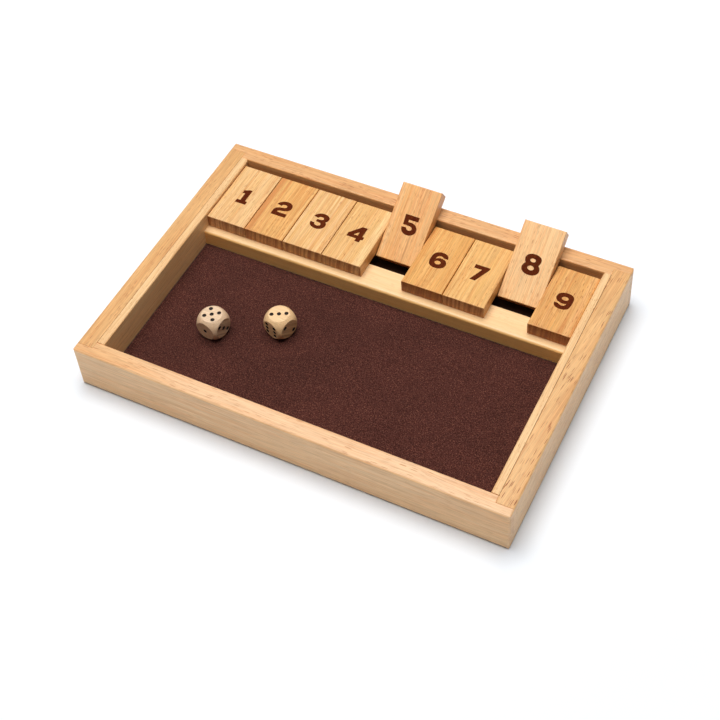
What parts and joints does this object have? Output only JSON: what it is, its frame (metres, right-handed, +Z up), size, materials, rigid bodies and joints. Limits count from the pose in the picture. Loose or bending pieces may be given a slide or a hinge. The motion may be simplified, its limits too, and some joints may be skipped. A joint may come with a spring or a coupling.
{
  "type": "shut the box game",
  "caption": "Shallow wooden dice game case with a felt tray, dice and a row of numbered tiles that flip on a hidden rod.",
  "frame": {"origin": "middle of the case's underside, on the table", "axes": "+X to the right along the rails, +Y to the back where the tiles are, +Z up"},
  "size_m": [0.2802, 0.1963, 0.0478],
  "materials": {
    "rail_wood": "clear matt varnish, straight pale grain with short dark pores",
    "liner_wood": "clear matt varnish, pale",
    "ledge_wood": "clear matt varnish, pale",
    "board_wood": "dark brown hardboard",
    "tile_wood": "clear satin varnish, honey coloured with fine stripes",
    "die_wood": "turned and waxed, drilled pips painted dark",
    "felt": "short brown felt",
    "rod_steel": "plain drawn steel"
  },
  "bodies": {
    "case": {"front_rail": "rail_wood", "back_rail": "rail_wood", "left_rail": "rail_wood", "right_rail": "rail_wood", "left_liner": "liner_wood", "right_liner": "liner_wood", "ledge": "ledge_wood", "base_board": "board_wood", "felt_mat": "felt", "tile_rod": "rod_steel"},
    "tile_1": {"tile_1": "tile_wood"},
    "tile_2": {"tile_2": "tile_wood"},
    "tile_3": {"tile_3": "tile_wood"},
    "tile_4": {"tile_4": "tile_wood"},
    "tile_5": {"tile_5": "tile_wood"},
    "tile_6": {"tile_6": "tile_wood"},
    "tile_7": {"tile_7": "tile_wood"},
    "tile_8": {"tile_8": "tile_wood"},
    "tile_9": {"tile_9": "tile_wood"},
    "die_1": {"die_1": "die_wood"},
    "die_2": {"die_2": "die_wood"}
  },
  "joints": [
    {"name": "tile_1_flip", "type": "hinge", "parent": "case", "child": "tile_1", "pos_m": [-0.1104, 0.06718, 0.0257], "axis": [-1, 0, 0], "range_deg": [0, 148.1]},
    {"name": "tile_2_flip", "type": "hinge", "parent": "case", "child": "tile_2", "pos_m": [-0.0828, 0.06718, 0.0257], "axis": [-1, 0, 0], "range_deg": [0, 148.1]},
    {"name": "tile_3_flip", "type": "hinge", "parent": "case", "child": "tile_3", "pos_m": [-0.0552, 0.06718, 0.0257], "axis": [-1, 0, 0], "range_deg": [0, 148.1]},
    {"name": "tile_4_flip", "type": "hinge", "parent": "case", "child": "tile_4", "pos_m": [-0.0276, 0.06718, 0.0257], "axis": [-1, 0, 0], "range_deg": [0, 148.1]},
    {"name": "tile_5_flip", "type": "hinge", "parent": "case", "child": "tile_5", "pos_m": [0, 0.06718, 0.0257], "axis": [-1, 0, 0], "range_deg": [-148.1, 0]},
    {"name": "tile_6_flip", "type": "hinge", "parent": "case", "child": "tile_6", "pos_m": [0.0276, 0.06718, 0.0257], "axis": [-1, 0, 0], "range_deg": [0, 148.1]},
    {"name": "tile_7_flip", "type": "hinge", "parent": "case", "child": "tile_7", "pos_m": [0.0552, 0.06718, 0.0257], "axis": [-1, 0, 0], "range_deg": [0, 148.1]},
    {"name": "tile_8_flip", "type": "hinge", "parent": "case", "child": "tile_8", "pos_m": [0.0828, 0.06718, 0.0257], "axis": [-1, 0, 0], "range_deg": [-148.1, 0]},
    {"name": "tile_9_flip", "type": "hinge", "parent": "case", "child": "tile_9", "pos_m": [0.1104, 0.06718, 0.0257], "axis": [-1, 0, 0], "range_deg": [0, 148.1]},
    {"name": "die_1_lift", "type": "slide", "parent": "case", "child": "die_1", "axis": [0, 0, 1], "range_m": [0, 0.06]},
    {"name": "die_2_lift", "type": "slide", "parent": "case", "child": "die_2", "axis": [0, 0, 1], "range_m": [0, 0.06]}
  ]
}
